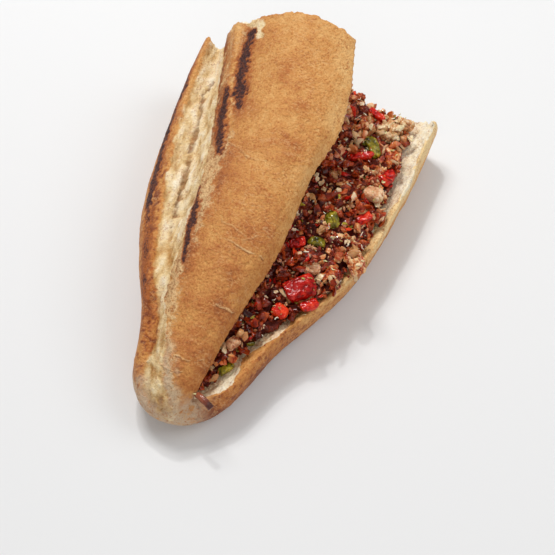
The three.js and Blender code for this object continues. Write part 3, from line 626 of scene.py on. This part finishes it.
def makeBread():
    mesh = loafMesh()
    places, normals = meshArrays(mesh)
    centring = [*loaf["centring"], 0.0]
    p = places / mm - centring
    x, y, z = p.T
    zone, uneven = breadZones(p), breadPatterns(p)
    wave, middle, fine, knots = uneven.wave, uneven.middle, uneven.fine, uneven.knots
    underside = smooth(1.4, 0.4, z)
    crumb, cutEnd = cutCrumb(y, zone, uneven)
    onTop, torn, fleckBand, earLine = burstMasks(p, zone, uneven)
    torn *= 1 - 0.3 * cutEnd
    char, halo = toastedStrokes(p, uneven)
    crease, hollowAndShade = creaseMasks(p, uneven)
    wander = p + uneven.fibre[:, None] * [1.2, 0, 0]
    crevice = strokeMask(wander, bread["crevice"], bread["creviceHalf"], 0.5 * fine, 0.3)
    crevice *= smooth(-0.35, 0.15, uneven.lumps + 0.1)

    # relief
    push = bread["wave"] * wave + bread["grain"] * (middle + 0.8 * fine)
    push *= (1 - torn) * (1 - crumb)
    push += torn * bread["fibre"] * (0.4 * uneven.fibre + 0.5 * knots + 0.5 * uneven.lumps + 0.3 * fine)
    push += fleckBand * (1 - torn) * 0.5 * (fine + 0.6 * knots)
    pits = smooth(0.42, 0.12, uneven.holes) + 0.5 * smooth(0.4, 0.1, uneven.smallHoles)
    push += crumb * (0.4 * middle + 0.2 * fine - bread["pore"] * pits)
    push += 0.25 * char * fine + bread["creaseDepth"] * (0.8 * crease - 1.2 * hollowAndShade) - 1.5 * crevice * torn
    push += 0.35 * earLine
    push *= 1 - underside
    moved = p + normals * push[:, None]
    teeth = 0.9 * cutEnd + bread["tornEnd"] * zone.onBase * crumb * smooth(3.0, 1.0, zone.inner)
    spikes = smooth(-0.12, 0.22, noiseField(p * [1.0, 0.2, 1.0], bread["toothSize"], 1, 12.0))
    nearCut = np.clip((y - loaf["cutY"] + 6.0) / 6.0, 0.0, 1.0) ** 2
    moved[:, 1] += (0.7 * cutEnd - teeth * spikes * nearCut) * (1 - underside)
    setPlaces(mesh, (moved + centring) * mm)

    # colours
    pale = bread["paleness"] + 0.26 * knots + 0.12 * uneven.fibre + 0.25 * uneven.lumps
    pale -= 0.22 * smooth(-70, -90, y) + 0.25 * smooth(zone.tornLeft + 1.8, zone.tornLeft - 0.8, x)
    pale -= 0.45 * earLine + 0.24 * hill(y, -36, 12)
    streak = np.zeros(len(p))
    for line in bread["streaks"]:
        streak = np.maximum(streak, strokeMask(p, line, bread["streakHalf"], 0.5 * middle))
    toast = howToasted(p, zone, uneven, onTop)
    toast += 0.1 * streak + 0.3 * earLine + 0.32 * halo
    toast = np.where(underside > 0.5, 0.62 + 0.2 * wave, toast)
    flour = smooth(25, 18, z + 1.5 * middle) * smooth(-80, -93, y + 3 * middle) * smooth(14, 2, x)
    flour = np.maximum(flour, 0.7 * fleckBand * smooth(-68, -86, y))
    treeFilling, far = treeOf("filling"), 8 * mm
    near = np.array([treeFilling.find_nearest(Vector(v), far)[3] or far for v in places]) / mm
    for name, values in {
        "crumb": crumb,
        "torn": torn,
        "fleck": fleckBand * (1 - torn),
        "char": char,
        "crease": crease,
        # painted shadow in the hollow beside each crease
        "creaseShade": hollowAndShade * (1 - crease),
        "toast": toast,
        "flour": flour,
        "soak": smooth(3.6, 0.6, near + 1.4 * middle) * (0.2 + 0.7 * smooth(10, -45, y)),
        "oily": smooth(6.5, 1.0, near + 2.5 * wave + middle) * (0.3 + 0.7 * smooth(70, 10, y)),
        "pale": pale,
        # painted shade in the crumb's pores and hollows and in the burst's crevices
        "deepShade": np.maximum(smooth(0.1, -1.1, push) * np.maximum(torn, crumb), crevice * torn),
    }.items():
        setAttribute(mesh, name, values)
    print("loaf:", len(mesh.vertices), "points", len(mesh.polygons), "faces")
    addObject("loaf", mesh, [breadMaterial()], ["bread"])


def breadMaterial():
    material, shade, shader = newMaterial("bakedCrust")
    patch = texture(shade, 60.0, Detail=3.0, Roughness=0.6)
    mottle = texture(shade, 330.0, Detail=4.0, Roughness=0.7)
    grain = texture(shade, 1000.0, Detail=3.0, Roughness=0.6)
    coarse = texture(shade, 330.0, stretch=2.2, Detail=3.0, Roughness=0.6)
    blister = texture(shade, 620.0, "ShaderNodeTexVoronoi", "Distance")

    # crust, with pale dots and wrinkles, creases with painted highlight and painted shadow, the flecked band
    # and flour
    toast = attribute(shade, "toast") + (patch - 0.5) * 0.45 + (mottle - 0.5) * 0.4 + (grain - 0.5) * 0.5
    crust = ramp(shade, bread["crust"], toast)
    dot = blister.between(0.2, 0.02) * grain.between(0.5, 0.6) * 0.45
    crust = dot.mix(crust, linear(236, 202, 150))
    wrinkle = texture(shade, 190.0, stretch=0.55, Detail=3.0, Distortion=0.6)
    wrinkle = abs(wrinkle - 0.5).between(0.035, 0.0) * patch.between(0.35, 0.65)
    crust = (wrinkle * 0.4).mix(crust, linear(238, 192, 134))
    # painted highlight: the raised lip of each crease drawn paler, as if lit from the back-left
    ridgeAndHighlight = attribute(shade, "crease") * mottle.between(0.25, 0.5) * 0.65
    crust = ridgeAndHighlight.mix(crust, linear(244, 208, 150))
    # painted shadow in the hollow beside each crease
    crust = (attribute(shade, "creaseShade") * 0.75).mix(crust, linear(132, 72, 34))
    speckle = attribute(shade, "fleck") + (grain - 0.5) * 1.9 + (mottle - 0.5) * 1.7
    crust = (speckle.between(0.4, 1.1) * 0.85).mix(crust, linear(240, 206, 150))
    speckle = attribute(shade, "fleck") + (0.5 - grain) * 1.4 + (0.5 - coarse) * 1.7
    crust = (speckle.between(0.8, 1.3) * 0.7).mix(crust, linear(158, 92, 44))
    flour = attribute(shade, "flour") * (coarse + grain * 0.5).between(0.5, 0.85)
    crust = (flour * 0.8).mix(crust, linear(212, 186, 150))

    # torn crumb in the burst
    pale = attribute(shade, "pale") + (mottle - 0.5) * 0.5 + (grain - 0.5) * 0.45
    torn = ramp(shade, bread["tornCrumb"], pale)
    # painted shade in the torn crumb's hollows and crevices
    torn = (attribute(shade, "deepShade") * 0.75).mix(torn, linear(140, 92, 46))
    colour = (attribute(shade, "torn") + (mottle - 0.5) * 0.6 + (grain - 0.5) * 0.3).between(0.2, 0.75)
    colour = colour.mix(crust, torn)
    colour = (flour * 0.6).mix(colour, linear(208, 186, 160))

    # cut crumb, stained near the filling
    crumb = (mottle + (grain - 0.5) * 0.4).between(0.3, 0.7)
    crumb = crumb.mix(*[linear(*colour) for colour in bread["crumb"]])
    # painted shade in the cut crumb's pores
    crumb = (attribute(shade, "deepShade") * 0.5).mix(crumb, linear(188, 156, 116))
    stain = attribute(shade, "soak") * (mottle + (grain - 0.5) * 0.6).between(0.35, 0.65)
    crumb = (attribute(shade, "oily") * mottle.between(0.3, 0.6) * 0.6).mix(crumb, linear(226, 166, 92))
    crumb = (stain * 0.6).mix(crumb, linear(168, 96, 52))
    colour = (attribute(shade, "crumb") + (mottle - 0.5) * 0.4).between(0.35, 0.65).mix(colour, crumb)

    # toasted strokes, brown at their edges
    char = attribute(shade, "char") + (coarse - 0.5) * 0.7 + (grain - 0.5) * 1.2
    colour = (char.between(0.0, 0.4) * 0.85).mix(colour, linear(176, 96, 36))
    colour = char.between(0.45, 0.9).mix(colour, linear(112, 54, 30))
    colour = (char.between(0.72, 1.15) * 0.95).mix(colour, linear(50, 28, 30))
    connect(shader.inputs["Base Color"], colour)
    rough = 0.6 + attribute(shade, "crumb") * 0.25 + attribute(shade, "torn") * 0.2
    connect(shader.inputs["Roughness"], rough)
    shader.inputs["Specular IOR Level"].default_value = 0.35
    height = mottle * 0.9 + grain * 0.6 + blister * 0.4
    connect(shader.inputs["Normal"], bump(shade, height, 0.9, 0.0011))
    return material


makeBread()

# the larger pieces on the heap: CAD part, then name, slot, material, roughness of form and size of its bumps
# in millimetres, tint
pieces = {
    "tomato_chunk": ("tomatoChunk", "tomato", "tomato", 0.35, 5.0, 0.5),
    "red_pepper_by_tomato": ("redPepperByTomato", "red_pepper", "red", 0.3, 3.5, 0.55),
    "red_pepper_near": ("redPepperNear", "red_pepper", "red", 0.3, 3.5, 0.8),
    "red_pepper_middle": ("redPepperMiddle", "red_pepper", "red", 0.3, 3.5, 0.5),
    "red_pepper_side": ("redPepperSide", "red_pepper", "red", 0.3, 3.5, 0.55),
    "red_pepper_edge": ("redPepperEdge", "red_pepper", "red", 0.35, 3.5, 0.5),
    "red_pepper_strip": ("redPepperStrip", "red_pepper", "red", 0.3, 4.0, 0.6),
    "red_pepper_end": ("redPepperEnd", "red_pepper", "red", 0.3, 4.0, 0.65),
    "green_pepper_middle": ("greenPepperMiddle", "green_pepper", "green", 0.3, 4.0, 0.45),
    "green_pepper_shaded": ("greenPepperShaded", "green_pepper", "green", 0.3, 4.0, 0.4),
    "green_pepper_far": ("greenPepperFar", "green_pepper", "green", 0.3, 4.0, 0.55),
    "green_pepper_near": ("greenPepperNear", "green_pepper", "green", 0.3, 4.0, 0.6),
    "onion_side": ("onionSide", "onion", "onion", 0.3, 3.4, 0.55),
    "onion_by_tomato": ("onionByTomato", "onion", "onion", 0.35, 3.0, 0.5),
    "onion_near": ("onionNear", "onion", "onion", 0.35, 3.0, 0.35),
    "meat_ledge": ("meatOnLedge", "meat", "meat", 0.8, 3.0, 0.5),
    "meat_over_rim": ("meatOverRim", "meat", "meat", 0.9, 3.0, 0.75),
    "meat_side_pink": ("pinkMeatSide", "meat", "meat", 0.5, 3.0, 0.68),
    "meat_end_pink": ("pinkMeatEnd", "meat", "meat", 0.5, 3.0, 0.68),
    "meat_end_large": ("largeMeatEnd", "meat", "tan", 0.9, 4.2, 0.6),
    "meat_end_corner": ("cornerMeatEnd", "meat", "tan", 0.8, 4.0, 0.45),
    "browned_strand": ("brownedStrand", "meat", "strand", 0.12, 2.0, 0.25),
}


# chopped filling: a saucy base with over a thousand small bits on it
heap = {
    "voxel": 0.75 * mm,
    "shred": 2.9,  # size of its shreds in millimetres
    "relief": 1.5,
    "sink": 0.6,  # the base lies this far under the bits
    "base": (70, 10, 2),  # the sauce's colour in the gaps, darkened with painted shade between the shreds
    "reachUnderLid": 13.0,  # bits lie this far in under the rim of the lid
    "clearance": 0.55,  # between a bit's place and the larger pieces
    "tries": 90,
    "onPieces": (60, 30),  # herb and chili flakes on the larger pieces
    "onMeat": 20,  # shreds on the larger meat
    "herbs": (27.5, 62.5, 4.5, 40),  # where they lie thick: x, y, reach, how many
    "spills": [  # on the rim: x, y, reach in millimetres, how many
        (54.5, -2, 6.5, 24), (48.5, -13, 5.0, 12), (36.5, -36, 7.0, 10), (17, -63, 7.0, 26),
        (60, 40, 7.0, 12), (58, 70, 9.0, 14), (57, 18, 6.0, 12), (24, -54, 6.0, 14),
    ],
}

# loose bits: how many, shortest and longest in millimetres, width and thickness, share of curls and of
# crumbly ones, how much paler where the heap is pale, how far out, slot, material, tints
bitKeys = ("count", "size", "form", "curls", "crumbs", "trend", "out", "slot", "material", "tints")
bits = {
    "largeShreds": (300, (6.5, 11.5), (0.7, 0.34), 0.25, 0.6, 1.0, 0.03, "filling", "meat",
                    [0.15, 0.3, 0.4, 0.5, 0.6, 0.75]),
    "tanShreds": (60, (5.0, 9.5), (0.7, 0.34), 0.25, 0.55, 0.8, 0.08, "meat", "tan", [0.3, 0.5, 0.7]),
    "choppedMeat": (460, (3.0, 6.0), (0.7, 0.45), 0.3, 0.5, 1.0, 0.05, "filling", "meat",
                    [0.1, 0.2, 0.3, 0.4, 0.4, 0.5, 0.6, 0.7, 0.9]),
    "paleBits": (120, (3.0, 6.5), (0.7, 0.4), 0.25, 0.5, 0.5, 0.16, "onion", "onion", [0.1, 0.4, 0.6, 0.9]),
    # pale fat fibres; the near-white ones also stand in for painted glints of oil
    "paleFibres": (170, (1.6, 4.0), (0.26, 0.2), 0.7, 0, 0.5, 0.4, "filling", "fat", [0.2, 0.5, 0.8, 0.95]),
    "redPepperBits": (90, (3.0, 7.5), (0.55, 0.28), 0.4, 0, 0.5, 0.2, "red_pepper", "red",
                      [0.2, 0.45, 0.6, 0.9]),
    "greenPepperBits": (34, (3.0, 6.0), (0.6, 0.25), 0.5, 0, 0.5, 0.2, "green_pepper", "green",
                        [0.2, 0.5, 0.8]),
    "herbFlakes": (200, (0.9, 2.4), (0.45, 0.16), 0, 0, 0.0, 0.3, "filling", "herb", [0.2, 0.5, 0.8, 0.95]),
    "chiliFlakes": (90, (0.8, 1.8), (0.7, 0.2), 0, 0, 0.0, 0.3, "filling", "chili", [0.2, 0.5, 0.8]),
}
bits = {name: dict(zip(bitKeys, row)) for name, row in bits.items()}

meatColours = [(0.0, (66, 9, 0)), (1.0, (242, 200, 146)), (0.2, (116, 28, 0)), (0.42, (156, 52, 8)),
               (0.62, (190, 88, 38)), (0.82, (220, 144, 86))]
pinkColours = [(0.0, (62, 6, 0)), (1.0, (240, 190, 144)), (0.2, (110, 22, 4)), (0.45, (164, 46, 16)),
               (0.7, (208, 110, 68))]
# name, then roughness, coat, spread of tints, scale of the mottling, then the dark, pale and middle colour
moistColours = {
    "onion": ("onionFlesh", (0.3, 0.45, 0.6, 420.0), (170, 92, 58), (246, 220, 182), (218, 164, 120)),
    "tan": ("tanMeat", (0.34, 0.45, 0.6, 420.0), (142, 72, 36), (246, 222, 178), (204, 146, 92)),
    # pale fat fibres, whose near-white end also stands in for painted glints of oil
    "fat": ("fattyFibre", (0.34, 0.45, 0.6, 420.0), (198, 136, 86), (255, 246, 224), (240, 208, 160)),
    "red": ("redPepperFlesh", (0.3, 0.4, 0.6, 420.0), (112, 6, 2), (236, 70, 28), (200, 18, 8)),
    "green": ("greenPepperFlesh", (0.3, 0.4, 0.6, 420.0), (48, 44, 4), (204, 180, 56), (126, 114, 18)),
    "herb": ("driedHerb", (0.6, 0.0, 0.6, 420.0), (92, 80, 34), (240, 228, 172), (190, 170, 98)),
    "chili": ("chiliFlake", (0.4, 0.2, 0.6, 420.0), (60, 10, 6), (206, 84, 40), (150, 28, 14)),
    "tomato": ("tomatoFlesh", (0.34, 0.3, 0.5, 260.0), (110, 3, 0), (228, 56, 24), (178, 13, 5)),
    "strand": ("brownedStrand", (0.3, 0.5, 0.6, 420.0), (52, 24, 24), (176, 100, 66), (118, 58, 42)),
}


def makeHeap():
    mesh = baked(asMesh(cadCopy("filling"), "heap"), [
        ("REMESH", {"mode": "VOXEL", "voxel_size": heap["voxel"]}),
        ("SMOOTH", {"factor": 0.6, "iterations": 5}),
    ])
    places, normals = meshArrays(mesh)
    p = places / mm
    warp = np.stack([noiseField(p, 2.6, 2, 11.0 + k) for k in range(3)], 1)
    heights, tints = np.zeros(len(p)), np.zeros(len(p))
    for i, place in enumerate((p + 1.1 * warp) / heap["shred"]):
        gaps, cells = noise.voronoi(Vector(place))
        seam = min((gaps[1] - gaps[0]) * 2.4, 1.0)
        heights[i] = (0.35 + noise.cell(cells[0] * 7.3)) * seam ** 0.5
        tints[i] = 0.5 + 0.5 * noise.cell(cells[0] * 3.1 + Vector((5, 1, 9)))
    heights = heap["relief"] * heights + 0.35 * noiseField(p, 1.3, 2, 15.0)
    setPlaces(mesh, (p + normals * (heights - heap["sink"])[:, None]) * mm)
    fromLid = p[:, 0] - guideAt("lidRim", p[:, 1])[:, 0]
    pale = 0.15 * smooth(45, 95, p[:, 1]) + 0.15 * smooth(2, 24, fromLid) - 0.1
    setAttribute(mesh, "tint", 0.1 + 0.5 * tints + 0.12 * warp[:, 0] + pale)
    setAttribute(mesh, "raised", smooth(-0.1, 0.9, heights))
    print("heap:", len(mesh.polygons), "faces")
    addObject("saucyHeap", mesh, [heapMaterial()], ["filling"])


def lumpShape(bm, rng, form):  # a torn lump, or a fold of it
    bmesh.ops.create_icosphere(bm, subdivisions=2, radius=0.5)
    shift = Vector([rng.uniform(0, 50) for _ in range(3)])
    width, height = form[0] * rng.uniform(0.5, 1.1), form[1] * rng.uniform(0.6, 1.2)
    bend, shear = rng.uniform(-1.1, 1.1), rng.uniform(-0.6, 0.6)
    for vert in bm.verts:
        vert.co *= 0.9 + 0.75 * noise.noise(vert.co * 2.6 + shift)
        x, y, z = vert.co
        vert.co = Vector((x, width * y + shear * x * width + bend * (x * x - 0.1), height * z))


def crumbShape(bm, rng, form):  # three or four torn scraps that hang together
    for _ in range(rng.choice((3, 3, 4))):
        place = Vector((rng.uniform(-0.34, 0.34), rng.uniform(-0.3, 0.3) * form[0],
                        rng.uniform(-0.3, 0.3) * form[1]))
        turn = Euler([rng.uniform(0, 2 * math.pi) for _ in range(3)]).to_matrix().to_4x4()
        scrap = bmesh.ops.create_icosphere(bm, subdivisions=1, radius=rng.uniform(0.2, 0.36))["verts"]
        shift = Vector([rng.uniform(0, 50) for _ in range(3)])
        for vert in scrap:
            vert.co *= 0.95 + 1.1 * noise.noise(vert.co * 4 + shift)
            vert.co = turn @ Vector((vert.co.x, vert.co.y * 0.75, vert.co.z * 0.45)) + place


def curlShape(bm, rng, form):  # a curled shred
    bmesh.ops.create_grid(bm, x_segments=7, y_segments=2, size=0.5)
    bmesh.ops.scale(bm, vec=(1, form[0] * rng.uniform(0.3, 0.6), 1), verts=bm.verts)
    bmesh.ops.solidify(bm, geom=bm.faces[:], thickness=form[1] * rng.uniform(0.3, 0.6))
    turn, twist = rng.uniform(1.4, 4.2), rng.uniform(-0.8, 0.8)
    shift = rng.uniform(0, 50)
    for vert in bm.verts:
        x = vert.co.x
        angle, out = x * turn, 1 / turn + vert.co.z
        side = vert.co.y * (1.1 - 1.5 * x * x) + 0.12 * noise.noise((x * 5, shift, vert.co.y * 3))
        vert.co = Vector((math.sin(angle) * out, side + twist * x * 0.4, math.cos(angle) * out - 1 / turn))


def bitShapes(settings, rng, count=18):  # a few different small bodies, about one unit long
    shapes = []
    for i in range(count):
        bm = bmesh.new()
        if i < count * settings["curls"]:
            curlShape(bm, rng, settings["form"])
        elif i < count * (settings["curls"] + settings["crumbs"]):
            crumbShape(bm, rng, settings["form"])
        else:
            lumpShape(bm, rng, settings["form"])
        bmesh.ops.recalc_face_normals(bm, faces=bm.faces)
        shape = asMesh(bm, "shape")
        shape.attributes.new("tint", "FLOAT", "POINT")
        side = Vector([rng.uniform(-1, 1) for _ in range(3)]).normalized()
        drift = [0.35 * side.dot(v.co) + 0.4 * noise.noise(v.co * 4 + side * 20) for v in shape.vertices]
        shapes.append((shape, drift))
    return shapes


def placesOn(names, count, rng, allowed):  # random places on CAD parts, evenly spread, with their normals
    faces, weights = [], []
    for name in names:
        ground = nodes[name].data
        ground.calc_loop_triangles()
        for triangle in ground.loop_triangles:
            faces.append(([ground.vertices[i].co for i in triangle.vertices], triangle.normal))
            weights.append(triangle.area)
    found = []
    for (a, b, c), normal in rng.choices(faces, weights, k=count * heap["tries"]):
        u, v = rng.random(), rng.random()
        if u + v > 1:
            u, v = 1 - u, 1 - v
        place = a + (b - a) * u + (c - a) * v
        if allowed(place, place / mm - Vector((*loaf["centring"], 0)), normal):
            found.append((place, normal.copy()))
        if len(found) == count:
            break
    return found


def openPlaces(count, rng):  # on the heap where it can be seen, clear of the larger pieces
    crust, toppings = treeOf("bread"), [treeOf(name) for name in pieces]
    hiddenY, noseY, far = 84, -90, 9 * mm  # the whole heap shows past hiddenY, and none before noseY

    def allowed(place, part, normal):
        rim = float(guideAt("lidRim", np.array([part.y]))[0, 0])
        if (part.x < rim - heap["reachUnderLid"] and part.y < hiddenY) or normal.z < -0.3 or part.y < noseY:
            return False
        return not any(tree.find_nearest(place, heap["clearance"] * mm)[0] for tree in toppings)

    found = placesOn(["filling"], count, rng, allowed)
    return [(*place, (crust.find_nearest(place[0], far)[3] or far) / mm) for place in found]


def clear(places):  # far from the bread, so that none is left out
    return [(*place, 9.0) for place in places]


def spillPlaces(rng):  # where bits lie on the rim of the base, and flakes on the larger pieces
    found = []
    for x, y, reach, count in heap["spills"]:
        def allowed(place, part, normal):
            return normal.z > 0.3 and part.z > 19 and math.hypot(part.x - x, part.y - y) < reach
        found.append(clear(placesOn(["bread"], count, rng, allowed)))
    return found


def paleness(place):  # paler towards the cut end and the open side, and in patches
    x, y = place.x / mm, place.y / mm
    fromLid = x - float(guideAt("lidRim", np.array([y]))[0, 0])
    slow = 0.3 * smooth(40, 90, y) + 0.2 * smooth(2, 24, fromLid) - 0.03 - 0.1 * smooth(15, -30, y)
    return slow + 0.34 * noise.noise(place / mm / 7)


def scatterBits(name, places, rng, material):
    settings = bits[name]
    shapes = bitShapes(settings, rng)
    bm = bmesh.new()
    flat = settings["form"][1] < 0.25
    low, high = settings["size"]
    for place, normal, toBread in places:
        size = low + (high - low) * rng.random() ** 2
        if toBread < 0.45 * size:  # it would reach into the bread
            continue
        tilt = 0.5 if flat else 0.75
        turn = Euler((rng.uniform(-tilt, tilt), rng.uniform(-tilt, tilt), rng.uniform(0, 2 * math.pi)), "ZYX")
        turn = normal.to_track_quat("Z", "Y").to_matrix() @ turn.to_matrix()
        lift = size * (settings["out"] + rng.uniform(-0.08, 0.08))
        matrix = Matrix.Translation(place + normal * lift * mm) @ turn.to_4x4() @ Matrix.Scale(size * mm, 4)
        shape, drift = rng.choice(shapes)
        tint = rng.choice(settings["tints"]) + rng.uniform(-0.07, 0.07) + settings["trend"] * paleness(place)
        shape.attributes["tint"].data.foreach_set("value", [min(max(tint + v, 0), 1) for v in drift])
        shape.transform(matrix)
        bm.from_mesh(shape)
        shape.transform(matrix.inverted())
    bmesh.ops.recalc_face_normals(bm, faces=bm.faces)
    mesh = asMesh(bm, name)
    moved, _ = meshArrays(mesh)
    setPlaces(mesh, moved)
    mesh.set_sharp_from_angle(angle=math.radians(52))
    print(name + ":", len(mesh.polygons), "faces")
    addObject(name, mesh, [material], ["filling"])


def heapMaterial():
    material, shade, shader = newMaterial("saucyShreds")
    mottle = texture(shade, 900.0, Detail=3.0, Roughness=0.6)
    colour = ramp(shade, meatColours, attribute(shade, "tint") + (mottle - 0.5) * 0.5)
    # painted shade: the sauce's dark colour shows in the low seams between the shreds
    colour = attribute(shade, "raised").mix(linear(*heap["base"]), colour)
    connect(shader.inputs["Base Color"], colour)
    connect(shader.inputs["Roughness"], 0.25 + mottle * 0.3)
    connect(shader.inputs["Coat Weight"], attribute(shade, "raised") * 0.5)
    shader.inputs["Coat Roughness"].default_value = 0.1
    shader.inputs["Specular IOR Level"].default_value = 0.15
    connect(shader.inputs["Normal"], bump(shade, mottle, 0.8, 0.0008))
    return material


def moistMaterial(name, stops, rough=0.34, coat=0.45, spread=0.6, scale=420.0, other=None):
    material, shade, shader = newMaterial(name)
    mottle = texture(shade, scale, Detail=3.0, Roughness=0.6)
    fine = texture(shade, scale * 3.0, Detail=2.0, Roughness=0.5)
    tint = attribute(shade, "tint") + (mottle - 0.5) * spread
    colour = ramp(shade, stops, tint)
    if other:  # a second range of colours in patches
        patch = texture(shade, 170.0, Detail=2.0)
        colour = patch.between(0.46, 0.58).mix(colour, ramp(shade, other, tint))
    connect(shader.inputs["Base Color"], colour)
    connect(shader.inputs["Roughness"], rough + (mottle - 0.5) * 0.4)
    shader.inputs["Coat Weight"].default_value = coat
    shader.inputs["Coat Roughness"].default_value = 0.07
    shader.inputs["Coat IOR"].default_value = 1.6
    shader.inputs["Specular IOR Level"].default_value = 0.08
    shader.inputs["Subsurface Weight"].default_value = 0.2
    shader.inputs["Subsurface Radius"].default_value = (1.0, 0.35, 0.2)
    shader.inputs["Subsurface Scale"].default_value = 0.0012
    connect(shader.inputs["Normal"], bump(shade, mottle + fine * 0.4, 0.9, 0.0009))
    return material


def makeFilling():
    rng = random.Random(7)
    makeHeap()
    materials = {"meat": moistMaterial("choppedMeatBrown", meatColours, other=pinkColours)}
    for kind, (name, finish, *colours) in moistColours.items():
        materials[kind] = moistMaterial(name, list(zip((0.0, 1.0, 0.5), colours)), *finish)
    places = openPlaces(sum(settings["count"] for settings in bits.values()), rng)
    herbCount, chiliCount = heap["onPieces"]
    flakes = clear(placesOn(list(pieces), herbCount + chiliCount, rng,
                            lambda place, part, normal: normal.z > 0.25))
    meatNames = [name for name in pieces if name.startswith("meat")]
    onMeat = clear(placesOn(meatNames, heap["onMeat"], rng, lambda place, part, normal: normal.z > 0.1))
    spills = spillPlaces(rng)
    herbX, herbY, reach, count = heap["herbs"]
    herbs = clear(placesOn(["filling"], count, rng, lambda place, part, normal: (
        normal.z > 0.2 and math.hypot(part.x - herbX, part.y - herbY) < reach)))
    extra = {
        "choppedMeat": spills[0][:14] + spills[1][:6] + spills[6][:4],
        "paleBits": spills[0][14:] + spills[1][6:8],
        "tanShreds": onMeat,
        "paleFibres": herbs[::2],
        "herbFlakes": flakes[:herbCount] + herbs + sum((spot[::2] for spot in spills[1:]), []),
        "chiliFlakes": flakes[herbCount:] + sum((spot[1::2] for spot in spills[1:]), []),
    }
    first = 0
    for name, settings in bits.items():
        last = first + settings["count"]
        scatterBits(name, places[first:last] + extra.get(name, []), rng, materials[settings["material"]])
        first = last
    return materials


def makePieces(materials):
    for i, (cadName, (name, slotName, material, rough, size, tint)) in enumerate(pieces.items()):
        mesh = baked(asMesh(cadCopy(cadName), name), [
            ("SUBSURF", {"subdivision_type": "SIMPLE", "levels": 3, "render_levels": 3}),
            ("SMOOTH", {"factor": 0.6, "iterations": 5}),
        ])
        mesh.name = name
        places, normals = meshArrays(mesh)
        p = places / mm
        lumps = noiseField(p, size, 3, 20.0 + i)
        small = noiseField(p, size * 0.35, 2, 40.0 + i) * (0.3 if material == "tomato" else 1.0)
        folds = smooth(0.16, 0.0, np.abs(noiseField(p, size * 1.3, 2, 60.0 + i)))
        heights = 1.2 * lumps + 0.2 * small - 0.7 * folds + 0.1
        setPlaces(mesh, (p + normals * (rough * heights)[:, None]) * mm)
        # the tint follows the relief, paler on the bumps and darker in the folds: partly the piece's own
        # mottling, partly painted shade
        shades = tint + 0.45 * lumps + 0.2 * small - 0.3 * folds
        if material == "strand":  # darker towards its free end
            shades = 0.75 - 0.7 * smooth(6, 13.5, p[:, 0])
        setAttribute(mesh, "tint", shades)
        addObject(name, mesh, [materials[material]], [cadName])
    print("pieces:", len(pieces))


makePieces(makeFilling())

# light and floor
studio = {
    "sky": 0.36,  # even light from all around
    "floor": (0.8, 0.8, 0.8, 1),
    "floorHalf": 3.0,
    "floorDrop": 0.0004,
    "lamps": [  # place, size, strength
        ((-0.5, 0.5, 1.1), 0.42, 7.5),
        ((-0.35, 0.62, 1.0), 0.06, 2.6),
        ((0.75, 0.35, 0.9), 0.7, 3.6),
        ((0.25, -0.9, 0.7), 0.9, 2.2),
    ],
}


def makeStudio():
    bm = bmesh.new()
    bmesh.ops.create_grid(bm, x_segments=1, y_segments=1, size=studio["floorHalf"])
    bmesh.ops.translate(bm, verts=bm.verts, vec=(0, 0, -studio["floorDrop"]))
    mesh = asMesh(bm, "floor")
    floor = bpy.data.objects.new("floor", mesh)
    bpy.context.scene.collection.objects.link(floor)
    material, _, shader = newMaterial("paleFloor")
    shader.inputs["Base Color"].default_value = studio["floor"]
    shader.inputs["Roughness"].default_value = 0.85
    mesh.materials.append(material)
    world = bpy.data.worlds.new("studio")
    world.use_nodes = True
    sky = world.node_tree.nodes["Background"].inputs
    sky["Color"].default_value = (1, 1, 1, 1)
    sky["Strength"].default_value = studio["sky"]
    bpy.context.scene.world = world
    for i, (place, size, strength) in enumerate(studio["lamps"]):
        data = bpy.data.lights.new(f"lamp{i}", "AREA")
        data.energy = strength
        data.size = size
        lamp = bpy.data.objects.new(f"lamp{i}", data)
        bpy.context.scene.collection.objects.link(lamp)
        turn = Vector(place).to_track_quat("Z", "Y").to_matrix().to_4x4()
        lamp.matrix_world = Matrix.Translation(place) @ turn
    bpy.context.scene.view_settings.view_transform = "Standard"


makeStudio()
print("studio set")
